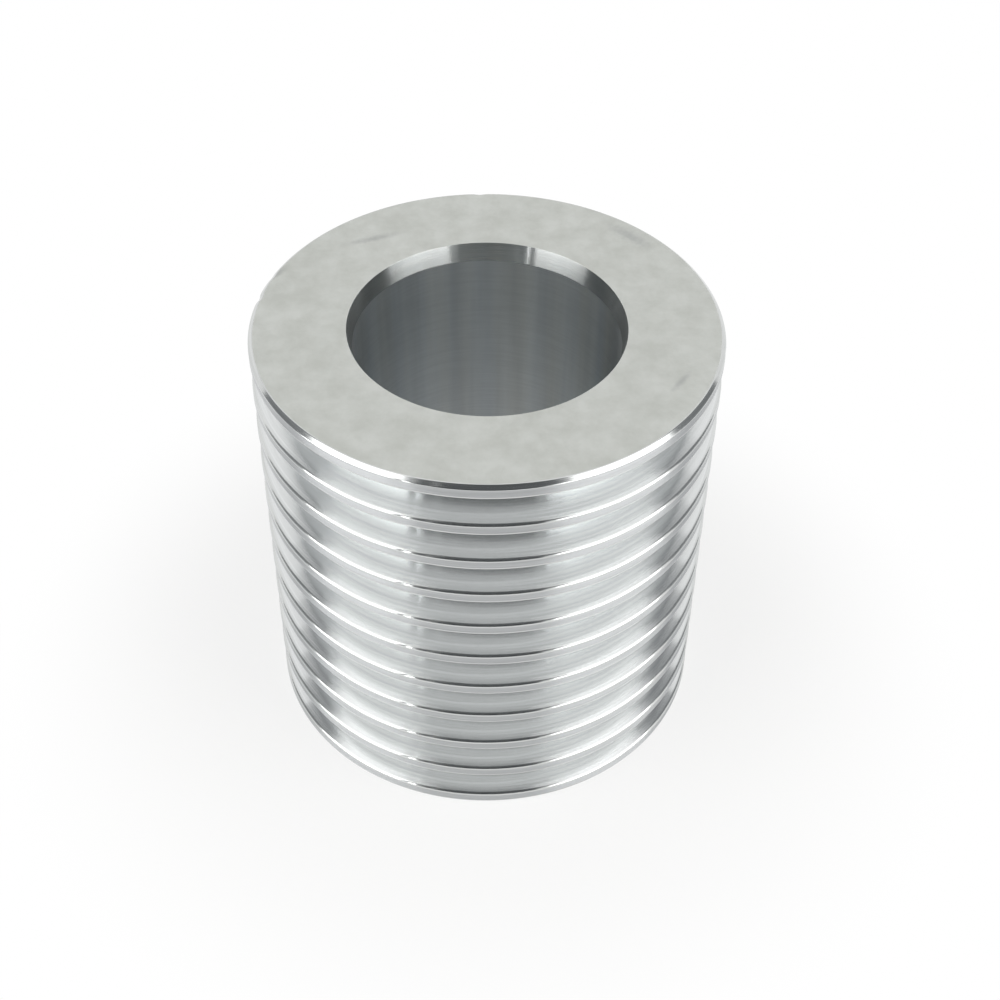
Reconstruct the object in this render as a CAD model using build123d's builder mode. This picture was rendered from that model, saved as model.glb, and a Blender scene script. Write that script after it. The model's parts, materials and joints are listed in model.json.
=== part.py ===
from build123d import *
from math import radians, tan
import os

# A one-piece pulley for a multi-ribbed belt, turned from aluminium.
#
# Ten V grooves run round the outside, between eleven rounded crests. The end faces are flat and a
# plain bore goes right through, with a shallow lead at each mouth that guides the shaft in. The
# pulley stands on one end face: the origin is the centre of that face, and +Z runs up the bore.

# Driving dimensions, in millimetres and degrees
outside_diameter = 37.2
bore_diameter = 21.2
groove_count = 10
groove_pitch = 3.56
groove_angle = 40.0
crest_width = 1.0
edge_to_groove = 2.5
crest_radius = 0.3
root_radius = 0.4
rim_chamfer = 0.3
lead_length = 1.5
lead_angle = 15.0

# Sizes that follow from them
outside_radius = outside_diameter / 2
bore_radius = bore_diameter / 2
face_width = 2 * edge_to_groove + (groove_count - 1) * groove_pitch
flank_slope = tan(radians(groove_angle / 2))
groove_half_width = (groove_pitch - crest_width) / 2
sharp_depth = groove_half_width / flank_slope

os.makedirs("parts", exist_ok=True)

with BuildPart() as grooved_pulley:
    # Half of the section through the axis: X is the radius and Y is the height
    with BuildSketch(Plane.XZ) as half_section:
        # The bored blank, before its grooves are cut
        with Locations((bore_radius, 0)):
            Rectangle(outside_radius - bore_radius, face_width, align=Align.MIN)

        # Each groove starts as a sharp V whose flanks meet sharp_depth under the outside diameter
        with Locations((outside_radius, face_width / 2)):
            with GridLocations(0, groove_pitch, 1, groove_count):
                Polygon(
                    (-sharp_depth, 0),
                    (0, -groove_half_width),
                    (0, groove_half_width),
                    align=None,
                    mode=Mode.SUBTRACT,
                )

        # The groove roots are the second row of corners out from the axis
        fillet(half_section.vertices().group_by(Axis.X)[1], root_radius)

        # The outermost row holds two corners of each crest, and a rim corner at either end
        crest_corners = half_section.vertices().group_by(Axis.X)[-1].sort_by(Axis.Y)[1:-1]
        fillet(crest_corners, crest_radius)
        outer_corners = half_section.vertices().group_by(Axis.X)[-1].sort_by(Axis.Y)
        chamfer([outer_corners[0], outer_corners[-1]], rim_chamfer)

        # The innermost edge is the bore's wall. Each lead takes lead_length of it, and leans out from
        # it by lead_angle towards the end face
        bore_wall = half_section.edges().sort_by(Axis.X)[0]
        chamfer(bore_wall.vertices(), lead_length, angle=lead_angle, reference=bore_wall)

    revolve(axis=Axis.Z)

grooved_pulley.part.label = "grooved_pulley"
export_step(grooved_pulley.part, "parts/grooved_pulley.step")
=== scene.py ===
# %% [markdown]
# # A grooved belt pulley, turned from aluminium
#
# The real pulley is one piece. It was turned on a lathe from a bar of aluminium: a bore goes right
# through it, its two ends are faced flat, and ten V grooves for a ribbed belt run round its rim.
# Nothing on it moves. Everything that the eye reads on it, apart from its outline, is how each cut
# of the lathe left the metal, so most of this lesson is about those finishes and the light on them.

# %% Load the frame
import json
import math

import bpy
import numpy as np
from mathutils import Matrix, Vector


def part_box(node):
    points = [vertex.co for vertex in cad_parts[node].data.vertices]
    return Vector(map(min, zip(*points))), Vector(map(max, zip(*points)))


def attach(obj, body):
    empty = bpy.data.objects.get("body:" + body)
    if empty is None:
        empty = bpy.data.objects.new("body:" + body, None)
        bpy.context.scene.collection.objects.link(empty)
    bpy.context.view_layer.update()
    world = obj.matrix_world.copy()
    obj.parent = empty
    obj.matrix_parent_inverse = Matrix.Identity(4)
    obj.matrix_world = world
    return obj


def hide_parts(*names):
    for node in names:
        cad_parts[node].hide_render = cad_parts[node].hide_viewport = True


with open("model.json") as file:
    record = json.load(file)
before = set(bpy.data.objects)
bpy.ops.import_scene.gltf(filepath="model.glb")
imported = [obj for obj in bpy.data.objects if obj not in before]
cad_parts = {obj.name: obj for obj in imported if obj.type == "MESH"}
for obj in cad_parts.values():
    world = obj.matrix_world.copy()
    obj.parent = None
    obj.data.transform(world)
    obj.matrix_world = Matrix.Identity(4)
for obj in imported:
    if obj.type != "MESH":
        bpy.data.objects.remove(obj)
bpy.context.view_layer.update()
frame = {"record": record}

# %% [markdown]
# ## Sizes
#
# A scene that is built round a fixed model takes its sizes from that model, so that the two can't
# drift apart. The outside radius and the height are read from the pulley's box, and the bore from
# the record's mount. The rest are the cutter's sizes, which a box can't show.

# %% Sizes of the section
mm = 0.001
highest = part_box("grooved_pulley")[1]
bore = next(mount["dims"] for mount in frame["record"]["mounts"] if mount["name"] == "bore")
outside_radius = highest.x
face_width = highest.z
bore_radius = bore["r_mm"] * mm
lead_length = (face_width - bore["length_mm"] * mm) / 2
lead_angle = math.radians(15)
groove_count = 10
groove_pitch = 3.56 * mm
groove_half_angle = math.radians(20)
crest_width = 1.0 * mm
crest_radius = 0.3 * mm
root_radius = 0.4 * mm
rim_chamfer = 0.3 * mm
rim_chamfer_angle = math.radians(45)
print(f"outside radius {outside_radius / mm:.2f} mm, face width {face_width / mm:.2f} mm")
print(f"bore radius {bore_radius / mm:.2f} mm, lead {lead_length / mm:.2f} mm long")

# %% [markdown]
# ## The section as a lathe cuts it
#
# The frame's own mesh has the right shape, but it is made of flat facets, and polished metal shows
# every one of them as a kink in a reflection. A turned part is a section swept round an axis, so its
# true normals are known exactly at every point. Here the section is drawn again as a chain of
# straight and round stretches. Each stretch carries its own normals and the name of its finish.

# %% Stretches of the section
section = []


def straight(finish, end, worn=False):
    """A straight cut to end, a (radius, height), from where the last stretch stopped."""
    start = last_point()
    run, rise = end[0] - start[0], end[1] - start[1]
    length = math.hypot(run, rise)
    normal = (rise / length, -run / length)
    section.append({"finish": finish, "points": [start, end], "normals": [normal, normal], "worn": worn})


def rounded(finish, centre, radius, first_angle, last_angle, steps, worn=False):
    """A round cut whose normal turns from first_angle to last_angle. A hollow one has a negative radius."""
    points, normals = [], []
    for step in range(steps + 1):
        angle = first_angle + (last_angle - first_angle) * step / steps
        normal = (math.cos(angle), math.sin(angle))
        points.append((centre[0] + radius * normal[0], centre[1] + radius * normal[1]))
        normals.append(normal)
    section.append({"finish": finish, "points": points, "normals": normals, "worn": worn})


def last_point():
    """Where the last stretch stopped, or the middle of the bore at the start."""
    return section[-1]["points"][-1] if section else bore_middle


# %% [markdown]
# No real edge is perfectly sharp. A last touch with a file or a tumble in the deburring drum leaves
# it slightly round, and it is this sliver of round metal that catches the light and draws the edge.
# So each corner between an end face, a chamfer and a wall is broken by a small radius, which turns
# from the one cut's normal to the next one's. The two mouths of the bore are hidden from the drum,
# and their edges stayed almost sharp.

# %% Broken edges
edge_radius = 0.15 * mm
mouth_edge_radius = 0.02 * mm
edge_steps = 3
print(f"edges broken by {edge_radius / mm:.2f} mm, those of the mouths by {mouth_edge_radius / mm:.2f} mm")


def broken_edge(finish, next_angle, radius=edge_radius, worn=False):
    """Round the edge between the last cut and one whose normal stands at next_angle."""
    before = section[-1]["normals"][-1]
    angle = math.atan2(before[1], before[0]) % (2 * math.pi)
    turned = (next_angle - angle) % (2 * math.pi)
    next_angle = angle + turned
    set_back = radius * math.tan(turned / 2)
    corner = last_point()
    start = (corner[0] + set_back * math.sin(angle), corner[1] - set_back * math.cos(angle))
    section[-1]["points"][-1] = start
    centre = (start[0] - radius * math.cos(angle), start[1] - radius * math.sin(angle))
    rounded(finish, centre, radius, angle, next_angle, edge_steps, worn)


# %% [markdown]
# The flanks of a groove stand 20 degrees either side of its middle plane, so their normals lean 70
# degrees from the radius. A rounded corner of radius r that turns through 70 degrees takes
# r * tan(35 degrees) off each side. The root's centre stands r / sin(20 degrees) out from the point
# where the flanks would meet.

# %% Draw the section from the bore round to the bore again
flank_lean = math.pi / 2 - groove_half_angle
corner_steps = 6
root_steps = 6
groove_half_width = (groove_pitch - crest_width) / 2
sharp_depth = groove_half_width / math.tan(groove_half_angle)
corner_set_back = crest_radius * math.tan(flank_lean / 2)
corner_centre_radius = outside_radius - crest_radius
root_centre_radius = outside_radius - sharp_depth + root_radius / math.sin(groove_half_angle)
edge_to_groove = (face_width - (groove_count - 1) * groove_pitch) / 2
rim_margin = 0.5 * mm
mouth_radius = bore_radius + lead_length * math.tan(lead_angle)
bore_middle = (bore_radius, face_width / 2)
facing_up, facing_axis, facing_down, facing_out = (math.radians(angle) for angle in (90, 180, 270, 360))

straight("bore_wall", (bore_radius, lead_length))
broken_edge("bore_lead", facing_axis + lead_angle)
straight("bore_lead", (mouth_radius, 0))
broken_edge("bore_lead", facing_down, mouth_edge_radius)
straight("faced_end", (outside_radius - rim_chamfer, 0))
broken_edge("rim_chamfer", facing_down + rim_chamfer_angle)
straight("rim_chamfer", (outside_radius, rim_chamfer))
broken_edge("rim_chamfer", facing_out)
for index in range(groove_count):
    middle = edge_to_groove + index * groove_pitch
    lower_corner = middle - groove_half_width - corner_set_back
    upper_corner = middle + groove_half_width + corner_set_back
    straight("crest_land", (outside_radius, lower_corner))
    rounded("crest_corner", (corner_centre_radius, lower_corner), crest_radius, 0, flank_lean, corner_steps)
    root_start = (
        root_centre_radius - root_radius * math.cos(flank_lean),
        middle - root_radius * math.sin(flank_lean),
    )
    straight("groove_flank", root_start)
    rounded("groove_root", (root_centre_radius, middle), -root_radius, flank_lean, -flank_lean, root_steps)
    corner_start = (
        corner_centre_radius + crest_radius * math.cos(flank_lean),
        upper_corner - crest_radius * math.sin(flank_lean),
    )
    straight("groove_flank", corner_start)
    rounded("crest_corner", (corner_centre_radius, upper_corner), crest_radius, -flank_lean, 0, corner_steps)
straight("crest_land", (outside_radius, face_width - rim_chamfer))
broken_edge("rim_chamfer", rim_chamfer_angle, worn=True)
straight("rim_chamfer", (outside_radius - rim_chamfer, face_width), worn=True)
broken_edge("rim_chamfer", facing_up, worn=True)
straight("faced_end", (outside_radius - rim_chamfer - rim_margin, face_width), worn=True)
straight("faced_end", (mouth_radius, face_width))
broken_edge("bore_lead", facing_axis - lead_angle, mouth_edge_radius)
straight("bore_lead", (bore_radius, face_width - lead_length))
broken_edge("bore_lead", facing_axis)
straight("bore_wall", bore_middle)
root_depth = outside_radius - min(radius for stretch in section for radius, _ in stretch["points"]
                                  if stretch["finish"] == "groove_root")
print(f"{len(section)} stretches, grooves {root_depth / mm:.2f} mm deep")

# %% [markdown]
# ## Nicks in the rim
#
# Loose parts knock against each other in a bin, and the thin upper rim takes the knocks. A nick is
# a small dent that pushes the rim in and down. It is worked out as a depth at each step round the
# rim, and the normals lean by the slope of that depth, so that the dents catch the light too.

# %% Nicks
segments = 400
turn = np.arange(segments) * 2 * math.pi / segments
cosine, sine = np.cos(turn), np.sin(turn)
nicks = [
    {"azimuth": 169, "half_width": 0.45 * mm, "depth": 0.12 * mm},
    {"azimuth": 160, "half_width": 0.35 * mm, "depth": 0.05 * mm},
    {"azimuth": 92, "half_width": 0.40 * mm, "depth": 0.07 * mm},
    {"azimuth": -9, "half_width": 0.35 * mm, "depth": 0.05 * mm},
]
nick_depth = np.zeros(segments)
for nick in nicks:
    apart = np.angle(np.exp(1j * (turn - math.radians(nick["azimuth"])))) * outside_radius
    nick_depth += nick["depth"] * np.exp(-((apart / nick["half_width"]) ** 2))
step_length = 2 * math.pi * outside_radius / segments
nick_slope = (np.roll(nick_depth, -1) - np.roll(nick_depth, 1)) / (2 * step_length)
print(f"{len(nicks)} nicks, deepest {nick_depth.max() / mm:.2f} mm, steepest {nick_slope.max():.2f}")

# %% [markdown]
# ## Sweep the section into a mesh
#
# Blender's Screw and Spin tools can sweep an outline, but they guess its normals by averaging
# faces, which smears the sharp edges of the chamfers. Built from arrays instead, each ring of
# corners is shared by the stretches that meet there, so the mesh is closed, while each face keeps
# the exact normals of its own stretch.

# %% Sweep
inward = math.sqrt(0.5)


def ring(radial, axial):
    """One value pair of the section, swept round the axis."""
    return np.stack([radial * cosine, radial * sine, np.full(segments, axial)], axis=1)


def ring_corners(point, worn):
    """The corners of one ring, pushed in and down at the nicks where it is worn."""
    return ring(*point) - nick_depth[:, None] * ring(inward, inward) * worn


def ring_normals(normal, worn):
    """The normals of one ring, leaning by the slope of the nicks where it is worn."""
    lean = nick_slope * inward * (normal[0] + normal[1]) * worn
    return ring(*normal) + lean[:, None] * np.stack([-sine, cosine, np.zeros(segments)], axis=1)


def swept_mesh(name):
    """The closed mesh of the swept section, its faces numbered by finish for the material slots, and the
    finishes in that order.
    """
    finishes = list(dict.fromkeys(stretch["finish"] for stretch in section))
    ring_count = sum(len(stretch["points"]) - 1 for stretch in section)
    here = np.arange(segments)
    after = (here + 1) % segments
    corners, faces, normals, slots = [], [], [], []
    for stretch in section:
        for step in range(len(stretch["points"]) - 1):
            low = len(corners)
            high = (low + 1) % ring_count
            corners.append(ring_corners(stretch["points"][step], stretch["worn"]))
            faces.append(np.stack([low * segments + here, low * segments + after,
                                   high * segments + after, high * segments + here], axis=1))
            start = ring_normals(stretch["normals"][step], stretch["worn"])
            end = ring_normals(stretch["normals"][step + 1], stretch["worn"])
            normals.append(np.stack([start, start[after], end[after], end], axis=1))
            slots.append(np.full(segments, finishes.index(stretch["finish"])))
    mesh = bpy.data.meshes.new(name)
    mesh.from_pydata(np.concatenate(corners).tolist(), [], np.concatenate(faces).tolist())
    mesh.polygons.foreach_set("material_index", np.concatenate(slots).astype(np.int32))
    mesh.polygons.foreach_set("use_smooth", np.ones(len(mesh.polygons), bool))
    unit = np.concatenate(normals).reshape(-1, 3)
    unit /= np.linalg.norm(unit, axis=1, keepdims=True)
    mesh.normals_split_custom_set(unit.tolist())
    mesh.validate()
    return mesh, finishes


pulley_mesh, finishes = swept_mesh("turned_pulley")
pulley = bpy.data.objects.new("turned_pulley", pulley_mesh)
bpy.context.scene.collection.objects.link(pulley)
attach(pulley, "root")
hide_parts("grooved_pulley")
print(f"{pulley.name}: {2 * len(pulley_mesh.polygons)} triangles, finishes {finishes}")

# %% [markdown]
# ## Colours and nodes
#
# A colour picked from a picture is sRGB, and a shader works with linear light, so one function turns
# one into the other. One more adds a node, with its settings, its values and its links.

# %% Helpers for materials


def linear(hex_colour):
    """An sRGB colour such as #C8CCCA as linear red, green, blue and alpha."""
    shares = [int(hex_colour[i:i + 2], 16) / 255 for i in (1, 3, 5)]
    light = [s / 12.92 if s <= 0.04045 else ((s + 0.055) / 1.055) ** 2.4 for s in shares]
    return (*light, 1.0)


def add_node(tree, kind, settings=None, values=None, links=None):
    """A new node of a kind, with its settings, its sockets' values and the links into it."""
    node = tree.nodes.new(kind)
    for name, setting in (settings or {}).items():
        setattr(node, name, setting)
    for socket, value in (values or {}).items():
        node.inputs[socket].default_value = value
    for socket, source in (links or {}).items():
        tree.links.new(source, node.inputs[socket])
    return node


print("half-bright sRGB grey is", round(linear("#808080")[0], 3), "in linear light")


# %% [markdown]
# ## Bare aluminium
#
# All of the finishes are the same metal, so they share one start: a fully metallic shader whose
# colour is aluminium's, a light grey that leans neither warm nor cool. Each finish sets its own mean
# grey there, and then links nodes that vary it a little. A lathe leaves rings of tiny ridges, and they
# scatter light across themselves far more than along themselves. That is why a turned rim shows tall
# streaks of light with crisp sides. The shader's anisotropy does this, with its tangent running round
# the axis and a quarter turn that puts the scatter up and down.

# %% Bare aluminium
across_the_ridges = 0.25


def empty_material(name):
    """A new material, and its tree without nodes."""
    material = bpy.data.materials.new(name)
    material.use_nodes = True
    material.node_tree.nodes.clear()
    return material, material.node_tree


def bare_aluminium(name, colour, roughness, anisotropic):
    """A material of bare metal, its tree, and its shader for a finish to add detail to."""
    material, tree = empty_material(name)
    tangent = add_node(tree, "ShaderNodeTangent", {"direction_type": "RADIAL", "axis": "Z"})
    values = {
        "Base Color": linear(colour),
        "Metallic": 1.0,
        "Roughness": roughness,
        "Anisotropic": anisotropic,
        "Anisotropic Rotation": across_the_ridges,
    }
    shader = add_node(tree, "ShaderNodeBsdfPrincipled", values=values, links={"Tangent": tangent.outputs[0]})
    add_node(tree, "ShaderNodeOutputMaterial", links={"Surface": shader.outputs["BSDF"]})
    return material, tree, shader


# %% [markdown]
# Every mark on the pulley follows the lathe, so its place is measured as a turner would: the radius,
# the height, and how far round the axis. Tool marks are noise that is drawn out round the axis, with
# a real spacing across the cut and a real length along it.

# %% Places on the lathe


def lathe_place(tree):
    """Where a point lies: its place, radius and height in millimetres, and its direction from the axis."""
    place = add_node(tree, "ShaderNodeTexCoord").outputs["Object"]
    scaled = add_node(tree, "ShaderNodeVectorMath", {"operation": "SCALE"}, {"Scale": 1 / mm}, {0: place})
    flat = add_node(tree, "ShaderNodeVectorMath", {"operation": "MULTIPLY"}, {1: (1, 1, 0)},
                    {0: scaled.outputs[0]})
    radius = add_node(tree, "ShaderNodeVectorMath", {"operation": "LENGTH"}, links={0: flat.outputs[0]})
    around = add_node(tree, "ShaderNodeVectorMath", {"operation": "NORMALIZE"}, links={0: flat.outputs[0]})
    height = add_node(tree, "ShaderNodeSeparateXYZ", links={0: scaled.outputs[0]})
    return {
        "place": scaled.outputs[0],
        "radius": radius.outputs["Value"],
        "height": height.outputs["Z"],
        "around": around.outputs[0],
    }


def tool_marks(tree, lathe, across, spacing, length):
    """Noise in rings: spacing is their step across the cut, and length their run round the rim, in mm."""
    round_it = add_node(tree, "ShaderNodeVectorMath", {"operation": "SCALE"},
                        {"Scale": outside_radius / mm / length}, {0: lathe["around"]})
    step = add_node(tree, "ShaderNodeMath", {"operation": "DIVIDE"}, {1: spacing}, {0: lathe[across]})
    upward = add_node(tree, "ShaderNodeCombineXYZ", links={"Z": step.outputs[0]})
    place = add_node(tree, "ShaderNodeVectorMath", {"operation": "ADD"},
                     links={0: round_it.outputs[0], 1: upward.outputs[0]})
    noise = add_node(tree, "ShaderNodeTexNoise", values={"Scale": 1.0, "Detail": 3.0, "Roughness": 0.6},
                     links={"Vector": place.outputs[0]})
    return noise.outputs["Fac"]


# %% [markdown]
# Noise stays near the middle of its range, so the middle third of it carries a colour all the way
# from one end to the other. The same marks then raise the surface a little. The bump is no more than
# two hundredths of a millimetre deep, and is only there to break up the reflections.

# %% Colour and relief
noise_low, noise_high = 0.35, 0.65


def between(tree, noise, low_colour, high_colour):
    """A colour that goes from one to the other as noise goes from low to high."""
    share = add_node(tree, "ShaderNodeMapRange", values={"From Min": noise_low, "From Max": noise_high},
                     links={"Value": noise})
    mix = add_node(tree, "ShaderNodeMix", {"data_type": "RGBA"},
                   {"A": linear(low_colour), "B": linear(high_colour)}, {"Factor": share.outputs[0]})
    return mix.outputs["Result"]


def dress(tree, shader, colour, relief, depth):
    """Give the metal its colour, and raise it by relief times depth, in millimetres."""
    bump = add_node(tree, "ShaderNodeBump", values={"Strength": 1.0, "Distance": depth * mm},
                    links={"Height": relief})
    tree.links.new(colour, shader.inputs["Base Color"])
    tree.links.new(bump.outputs["Normal"], shader.inputs["Normal"])


# %% [markdown]
# ## The faced ends
#
# The end faces were faced off and then tumbled, which dulls the rings of the facing tool to an even
# satin grey. It scatters light widely, so its roughness is high and it has no direction. What is left
# to see is cloudy: patches a millimetre or two across where the oxide is a little thicker. A few
# grey smudges are where the part was handled. The grain of a tumbled face is 0.1 mm or finer, and is
# drawn coarser here, so that it shows. Sizes are in millimetres, and angles in degrees.

# %% Faced aluminium
looks = {}
cloud_size = 2.2
grain_size = 0.35
grain_depth = 0.004
smudge_grey = "#AEB0AE"
smudge_core, smudge_reach, smudge_strength = 0.4, 2.0, 0.7
smudges = [
    {"centre": (-9.46, 11.52), "length": 4.2, "width": 0.8, "angle": 21},
    {"centre": (11.90, 12.06), "length": 4.6, "width": 1.3, "angle": -46},
    {"centre": (14.55, -6.95), "length": 2.6, "width": 0.6, "angle": 56},
    {"centre": (-16.9, 6.6), "length": 2.2, "width": 0.6, "angle": 60},
]


def smudge(tree, lathe, unevenness, centre, length, width, angle):
    """The share of grey on the upper face: full in the core of a long mark, 0 past its uneven edge."""
    ellipse = {
        "Location": (*centre, face_width / mm),
        "Rotation": (0, 0, math.radians(angle)),
        "Scale": (length / 2, width / 2, 1),
    }
    place = add_node(tree, "ShaderNodeMapping", {"vector_type": "TEXTURE"}, ellipse,
                     {"Vector": lathe["place"]})
    distance = add_node(tree, "ShaderNodeVectorMath", {"operation": "LENGTH"}, links={0: place.outputs[0]})
    edge = add_node(tree, "ShaderNodeMath", {"operation": "ADD"},
                    links={0: distance.outputs["Value"], 1: unevenness})
    fade = {"From Min": smudge_core, "From Max": smudge_reach, "To Min": smudge_strength, "To Max": 0.0}
    share = add_node(tree, "ShaderNodeMapRange", {"interpolation_type": "SMOOTHSTEP"}, fade,
                     {"Value": edge.outputs[0]})
    return share.outputs["Result"]


def faced_aluminium():
    """The cloudy satin grey of the two end faces."""
    material, tree, shader = bare_aluminium("faced_aluminium", "#CED0CC", 0.6, 0.0)
    lathe = lathe_place(tree)
    clouds = add_node(tree, "ShaderNodeTexNoise",
                      values={"Scale": 1 / cloud_size, "Detail": 6.0, "Roughness": 0.65},
                      links={"Vector": lathe["place"]})
    grain = add_node(tree, "ShaderNodeTexNoise", values={"Scale": 1 / grain_size, "Detail": 3.0},
                     links={"Vector": lathe["place"]}).outputs["Fac"]
    colour = between(tree, clouds.outputs["Fac"], "#C4C6C1", "#D0D2CE")
    for mark in smudges:
        share = smudge(tree, lathe, grain, **mark)
        mix = add_node(tree, "ShaderNodeMix", {"data_type": "RGBA"}, {"B": linear(smudge_grey)},
                       {"Factor": share, "A": colour})
        colour = mix.outputs["Result"]
    dress(tree, shader, colour, grain, grain_depth)
    return material


looks["faced_end"] = faced_aluminium()
print(f"faced ends: clouds of {cloud_size} mm and {len(smudges)} smudges")

# %% [markdown]
# ## The rim's chamfer and the bore's lead
#
# A chamfer is the last cut, made with a fresh tool at a slow feed, and nothing touches it after
# that. The rim's is narrow and nearly a mirror. The bore's lead is longer and steeper, to guide a
# shaft in, and was cut by a boring bar that sang a little. So it scatters light up and down, and
# stays crisp from side to side. Real rings of a finishing cut are 0.05 mm apart or less, and are
# drawn two to three times coarser here, so that they show.

# %% Chamfer and lead


def ringed_aluminium(name, colour, roughness, anisotropic, across, spacing, length, shades, depth):
    """Bare metal whose rings of tool marks go from one shade to the other. Sizes are in millimetres."""
    material, tree, shader = bare_aluminium(name, colour, roughness, anisotropic)
    rings = tool_marks(tree, lathe_place(tree), across, spacing, length)
    dress(tree, shader, between(tree, rings, *shades), rings, depth)
    return material


looks["rim_chamfer"] = ringed_aluminium(
    "bright_chamfer", "#CFD1D0", roughness=0.15, anisotropic=0.5, across="height",
    spacing=0.12, length=6.0, shades=("#C6C8C7", "#D8DAD9"), depth=0.004,
)
looks["bore_lead"] = ringed_aluminium(
    "bored_lead", "#CBCECD", roughness=0.19, anisotropic=1.0, across="height",
    spacing=0.14, length=9.0, shades=("#C8CBCA", "#D0D2D0"), depth=0.006,
)
print("chamfer and lead:", looks["rim_chamfer"].name, looks["bore_lead"].name)

# %% [markdown]
# ## Crests and grooves
#
# The crests are what is left of the turned blank. Their lands were finished at a fine feed and look
# like satin, with tall soft streaks. The corners of the crests were rounded and rubbed bright, and
# stand out as the thin lines, white or black, that circle the pulley. The flanks were cut by a form
# tool that plunged straight in, so each notch in its edge is copied right round the groove as a
# thread-fine ring. The roots are the dullest, because the chips leave through there. These rings
# are drawn two to three times coarser than real ones too.

# %% Crests and grooves
looks["crest_land"] = ringed_aluminium(
    "fine_turned_crest", "#C1C3C4", roughness=0.29, anisotropic=1.0, across="height",
    spacing=0.18, length=12.0, shades=("#BCBEBF", "#C8CACB"), depth=0.02,
)
looks["crest_corner"] = ringed_aluminium(
    "burnished_corner", "#D2D4D3", roughness=0.18, anisotropic=0.9, across="height",
    spacing=0.12, length=8.0, shades=("#CCCECD", "#D9DBDA"), depth=0.004,
)
looks["groove_flank"] = ringed_aluminium(
    "form_cut_flank", "#DCDEDE", roughness=0.155, anisotropic=1.0, across="radius",
    spacing=0.16, length=14.0, shades=("#D7D9D9", "#E3E5E5"), depth=0.003,
)
looks["groove_root"] = ringed_aluminium(
    "dull_root", "#CDCFCD", roughness=0.25, anisotropic=0.5, across="radius",
    spacing=0.12, length=5.0, shades=("#C4C6C4", "#D6D8D6"), depth=0.01,
)
print(f"{len(looks)} finishes so far")

# %% [markdown]
# ## The bore
#
# The bore was drilled and then reamed. A reamer has several blades and leaves no spiral, only an
# even grey with very fine rings. As it was drawn out it left faint tall bands, some a little cooler
# and some a little warmer, and these are what gives the hole its depth. The rings are drawn coarser
# than real ones here too, and all sizes are in millimetres.

# %% Reamed bore
reamer_ring_spacing = 0.22
reamer_ring_length = 7.0
reamer_ring_depth = 0.001
band_width = 2.4
band_height = 45.0


def reamed_bore():
    """The even grey of the bore wall, with fine rings and faint tall bands."""
    material, tree, shader = bare_aluminium("reamed_bore", "#E4E7EA", 0.36, 0.0)
    lathe = lathe_place(tree)
    rings = tool_marks(tree, lathe, "height", reamer_ring_spacing, reamer_ring_length)
    bands_round = bore_radius / mm / band_width
    round_it = add_node(tree, "ShaderNodeVectorMath", {"operation": "MULTIPLY"},
                        {1: (bands_round, bands_round, 0)}, {0: lathe["around"]})
    upward = add_node(tree, "ShaderNodeVectorMath", {"operation": "MULTIPLY"},
                      {1: (0, 0, 1 / band_height)}, {0: lathe["place"]})
    place = add_node(tree, "ShaderNodeVectorMath", {"operation": "ADD"},
                     links={0: round_it.outputs[0], 1: upward.outputs[0]})
    bands = add_node(tree, "ShaderNodeTexNoise", values={"Scale": 1.0, "Detail": 3.0, "Roughness": 0.5},
                     links={"Vector": place.outputs[0]})
    colour = between(tree, bands.outputs["Color"], "#E1E6EA", "#E6E8E6")
    bright = between(tree, rings, "#F8F8F8", "#FFFFFF")
    shades = between(tree, bands.outputs["Fac"], "#EAEAEA", "#FFFFFF")
    for layer in (bright, shades):
        colour = add_node(tree, "ShaderNodeVectorMath", {"operation": "MULTIPLY"},
                          links={0: colour, 1: layer}).outputs[0]
    dress(tree, shader, colour, rings, reamer_ring_depth)
    return material


looks["bore_wall"] = reamed_bore()
print(f"bore wall: rings {reamer_ring_spacing} mm apart, bands {band_width} mm wide")

# %% [markdown]
# ## The finishes on the pulley
#
# The mesh numbers its slots in the order in which the section met each finish, so the materials are
# added in that order.

# %% Give each stretch of the section its finish
for finish in finishes:
    pulley_mesh.materials.append(looks[finish])
print("finishes:", [material.name for material in pulley_mesh.materials])

# %% [markdown]
# ## A white floor that keeps the shadow
#
# The pulley stands on white paper. Paper that is only lit turns out grey, and more light on it would
# burn out the metal. So the paper glows white for the rays that show a background, those from the
# camera and those that metal sends on, and the glow is weaker near the pulley: a painted shade, a soft
# grey ring round its foot, where the paint of the floor shows through with the pulley's real shadow on
# it. Inside the bore the glow is weaker still, a painted shade under the pulley, as no light but what
# comes down the hole would reach it there.

# %% Floor
floor_radius = 1.0
# The glow fades to floor_white near the pulley and to glow_in_bore inside the bore: painted shade, mixed with
# the paint's real shadow.
shadow_near, shadow_far = 0.022, 0.046
floor_white = 0.72
glow_in_bore = 0.4
floor_corners = 96
bpy.ops.mesh.primitive_circle_add(vertices=floor_corners, radius=floor_radius, fill_type="NGON")
floor = bpy.context.object
floor.name = "floor"


def seen_rays(tree):
    """1 for the rays that show the background: the camera's, and those that metal or glass sends on."""
    rays = add_node(tree, "ShaderNodeLightPath").outputs
    either = add_node(tree, "ShaderNodeMath", {"operation": "MAXIMUM"},
                      links={0: rays["Is Camera Ray"], 1: rays["Is Glossy Ray"]})
    return add_node(tree, "ShaderNodeMath", {"operation": "MAXIMUM"},
                    links={0: either.outputs[0], 1: rays["Is Transmission Ray"]}).outputs[0]


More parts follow.
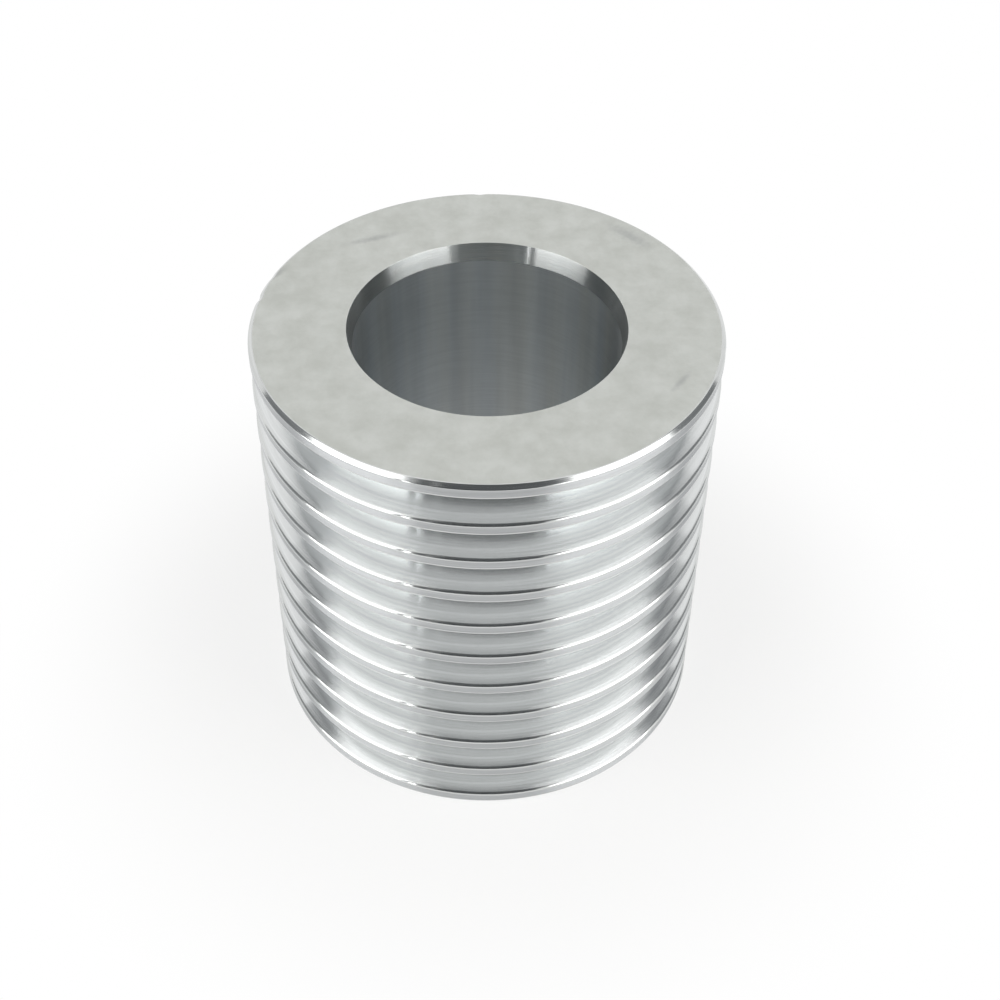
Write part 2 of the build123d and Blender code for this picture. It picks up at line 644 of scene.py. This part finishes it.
floor_material, tree = empty_material("white_paper")
paint = add_node(tree, "ShaderNodeBsdfPrincipled", values={"Base Color": linear("#F4F4F2"), "Roughness": 0.8})
glow = add_node(tree, "ShaderNodeEmission", values={"Color": linear("#FFFFFF"), "Strength": 1.0})
place = add_node(tree, "ShaderNodeTexCoord")
distance = add_node(tree, "ShaderNodeVectorMath", {"operation": "LENGTH"}, links={0: place.outputs["Object"]})
out_of_shadow = add_node(
    tree, "ShaderNodeMapRange", {"interpolation_type": "SMOOTHSTEP"},
    values={"From Min": shadow_near, "From Max": shadow_far, "To Min": floor_white, "To Max": 1.0},
    links={"Value": distance.outputs["Value"]},
)
out_of_bore = add_node(
    tree, "ShaderNodeMapRange",
    values={"From Min": bore_radius, "From Max": outside_radius, "To Min": glow_in_bore, "To Max": 1.0},
    links={"Value": distance.outputs["Value"]},
)
share = add_node(tree, "ShaderNodeMath", {"operation": "MULTIPLY"},
                 links={0: out_of_shadow.outputs["Result"], 1: out_of_bore.outputs["Result"]})
seen_share = add_node(tree, "ShaderNodeMath", {"operation": "MULTIPLY"},
                      links={0: share.outputs[0], 1: seen_rays(tree)})
both = add_node(tree, "ShaderNodeMixShader",
                links={0: seen_share.outputs[0], 1: paint.outputs["BSDF"], 2: glow.outputs[0]})
add_node(tree, "ShaderNodeOutputMaterial", links={"Surface": both.outputs[0]})
floor.data.materials.append(floor_material)
print(f"floor {2 * floor_radius:.0f} m across, pure white from {shadow_far / mm:.0f} mm off the axis")

# %% [markdown]
# ## The room
#
# The room is white for the rays that show a background, as the floor is, so the metal mirrors white
# wherever no sheet stands. As a lamp it is dimmer, like the pale walls of a studio, so that the paint
# keeps the pulley's shadow.

# %% Room
room_light = 0.4
world = bpy.data.worlds.new("white_room")
bpy.context.scene.world = world
world.use_nodes = True
tree = world.node_tree
tree.nodes.clear()
strength = add_node(tree, "ShaderNodeMapRange", values={"To Min": room_light, "To Max": 1.0},
                    links={"Value": seen_rays(tree)})
room = add_node(tree, "ShaderNodeBackground", values={"Color": linear("#FFFFFF")},
                links={"Strength": strength.outputs["Result"]})
add_node(tree, "ShaderNodeOutputWorld", links={"Surface": room.outputs[0]})
print(f"room light {room_light}")

# %% [markdown]
# ## Softboxes and cards
#
# Polished metal has no look of its own: it shows the room. A photographer lights it with large soft
# panels, whose reflections are the long white streaks, and stands black cards between them, whose
# reflections are the dark lines that give the metal its shape. Both are curved sheets here that stand
# round the pulley. The pulley sees each one by its azimuth, which is 0 at the picture's right and -90
# towards the camera, and by its elevation, both in degrees. So a sheet's outline is a few rows from
# its foot to its head.

# %% Sheets round the pulley
panel_steps = 12
card_thickness = 0.2 * mm


def glowing(name, hex_colour, strength=1.0):
    """A sheet's own light: a strength of 1 is white."""
    material, tree = empty_material(name)
    glow = add_node(tree, "ShaderNodeEmission", values={"Color": linear(hex_colour), "Strength": strength})
    add_node(tree, "ShaderNodeOutputMaterial", links={"Surface": glow.outputs[0]})
    return material


def standing(distance, outline):
    """Rows of corners of a sheet that stands. Its outline is (elevation, first azimuth, last azimuth)."""
    return [(distance, distance * math.tan(math.radians(elevation)), *ends) for elevation, *ends in outline]


def lying(outline):
    """Rows of corners of a card that lies. Its outline is (distance, first azimuth, last azimuth)."""
    return [(distance, card_thickness, *ends) for distance, *ends in outline]


def sheet(name, material, rows, hidden_from=("camera",)):
    """A curved sheet through rows of corners, each at one distance and height."""
    turns = [step / panel_steps for step in range(panel_steps + 1)]
    corners = [
        (distance * math.cos(turned), distance * math.sin(turned), height)
        for distance, height, first, last in rows
        for turned in (math.radians(first + (last - first) * share) for share in turns)
    ]
    across = panel_steps + 1
    faces = [
        (corner, corner + 1, corner + across + 1, corner + across)
        for row in range(len(rows) - 1)
        for corner in range(row * across, row * across + panel_steps)
    ]
    mesh = bpy.data.meshes.new(name)
    mesh.from_pydata(corners, [], faces)
    mesh.materials.append(material)
    card = bpy.data.objects.new(name, mesh)
    bpy.context.scene.collection.objects.link(card)
    for ray in hidden_from:
        setattr(card, "visible_" + ray, False)


# %% [markdown]
# Each softbox is brightest at its foot, as if its lamp hung low, and dims towards its head. The right
# one dims towards the camera too. Light that leaks past the left one stands beside it as a narrow
# bright slit that fades upwards, and the lead of the bore mirrors it. A second slit, faint all the way
# up, stands nearer the camera.

# %% Softboxes and slits
lamp_white = "#FFFFFF"
box_distance = 0.45
slit_distance = 0.19
foot_light = glowing("softbox_foot", lamp_white, 4.8)
box_light = glowing("softbox_cloth", lamp_white, 2.2)
head_light = glowing("softbox_head", lamp_white, 1.4)
edge_light = glowing("softbox_edge", lamp_white, 0.4)
foot_edge_light = glowing("softbox_foot_edge", lamp_white, 0.8)
slit_light = glowing("slit", lamp_white, 12.0)
middle_light = glowing("slit_middle", lamp_white, 6.0)
faint_light = glowing("faint_slit", lamp_white, 0.8)
softboxes = {
    "left_softbox_foot": (foot_light, [(0, -172, -126), (18, -173, -126)]),
    "left_softbox": (box_light, [(18, -173, -126), (35, -175, -126), (50, -184, -127)]),
    "left_softbox_head": (head_light, [(50, -184, -127), (62, -196, -142), (70, -200, -154)]),
    "right_softbox_foot": (foot_light, [(0, -61, -9), (18, -60, -8)]),
    "right_softbox": (box_light, [(18, -60, -8), (27, -49, -3), (36, -49, -1), (50, -49.5, 6)]),
    "right_softbox_foot_edge": (foot_edge_light, [(0, -66, -61), (18, -65, -60)]),
    "right_softbox_edge": (edge_light, [(18, -66, -60), (27, -54, -49), (50, -54, -49.5)]),
    "right_softbox_head": (head_light, [(50, -49.5, 6), (62, -40, 14), (70, -28, 14)]),
}
slits = {
    "slit_foot": (slit_light, [(0, -123.4, -121.8), (16, -123.4, -121.8)]),
    "slit_middle": (middle_light, [(16, -123.4, -121.8), (24, -123.4, -121.8)]),
    "slit_beside_left_softbox": (
        faint_light, [(24, -123.6, -121.6), (40, -124.2, -122.6), (56, -126, -124.6)],
    ),
    "faint_slit": (faint_light, [(0, -114.2, -113.2), (60, -114.2, -113.2)]),
}
for name, (light, outline) in softboxes.items():
    sheet(name, light, standing(box_distance, outline))
for name, (light, outline) in slits.items():
    sheet(name, light, standing(slit_distance, outline))
print(f"{len(softboxes)} sheets of softbox and {len(slits)} of slit")

# %% [markdown]
# Black card is never quite black under studio light, so each card glows with about the grey that it
# shows in the metal. The front is darkest at its foot, where the lead of the bore looks, and palest at its
# right edge. Two pale cards lie on the floor at the pulley's sides, and take a little off the white
# that the grooves mirror there. The metal alone sees the cards, so they shade nothing.

# %% Cards
only_reflections = ("camera", "diffuse", "shadow", "transmission")
front_distance = 0.2
side_distance = 0.3
top_distance = 0.35
velvet_card = glowing("velvet_card", "#2C2E30")
black_card = glowing("black_card", "#626466")
grey_card = glowing("grey_card", "#8A8C8E")
pale_card = glowing("pale_card", "#E4E5E6")
front_foot_outline = [(0, -128, -67), (25, -128, -66)]
front_outline = [(25, -128, -66), (34, -128, -57), (80, -128, -57)]
front_right_outline = [(25, -66, -65), (34, -57, -54), (80, -57, -54)]
left_outline = [(0, 160, 187), (38, 160, 187), (47, 151, 175), (57, 149, 169)]
right_outline = [(0, -2, 26), (36, -2, 26), (45, 2, 34), (54, 6, 36)]
top_outline = [(72, -150, -34), (89, -150, -34)]
left_floor_outline = [(0.021, 195, 212), (0.03, 186, 207), (0.06, 174, 197), (0.15, 166, 189)]
right_floor_outline = [(0.021, -20, -6), (0.03, -15, 2), (0.06, -8, 14), (0.15, -3, 24)]
cards = {
    "front_card_foot": (velvet_card, standing(front_distance, front_foot_outline)),
    "front_card": (black_card, standing(front_distance, front_outline)),
    "front_right_card": (grey_card, standing(front_distance, front_right_outline)),
    "left_card": (grey_card, standing(side_distance, left_outline)),
    "right_card": (grey_card, standing(side_distance, right_outline)),
    "top_card": (black_card, standing(top_distance, top_outline)),
    "left_floor_card": (pale_card, lying(left_floor_outline)),
    "right_floor_card": (pale_card, lying(right_floor_outline)),
}
for name, (material, rows) in cards.items():
    sheet(name, material, rows, hidden_from=only_reflections)
print(f"{len(cards)} cards")

# %% [markdown]
# ## Camera
#
# The photo looks down at the pulley at about 44 degrees and from close by, so the crests draw together
# towards its foot. The camera's place, lens and tilt are those that bring the end face, the bore and
# the crest lines to where the photo has them. Its pan and roll, in radians like the tilt, are tiny.

# %% Camera
camera_data = bpy.data.cameras.new("camera")
camera_data.sensor_width = 36.0
camera_data.lens = 58.17
camera_data.clip_start = 5 * mm
camera = bpy.data.objects.new("camera", camera_data)
bpy.context.scene.collection.objects.link(camera)
camera_place = Vector((-0.345, -100.53, 114.27)) * mm
camera_tilt, camera_pan, camera_roll = 0.7635, 0.015, 0.013
camera.matrix_world = (
    Matrix.Translation(camera_place)
    @ Matrix.Rotation(-camera_pan, 4, "Z")
    @ Matrix.Rotation(math.pi / 2 - camera_tilt, 4, "X")
    @ Matrix.Rotation(camera_roll, 4, "Z")
)
bpy.context.scene.camera = camera
bpy.context.scene.view_settings.view_transform = "Standard"
print(f"camera {camera_place.length / mm:.0f} mm away, looking {math.degrees(camera_tilt):.1f} degrees down")
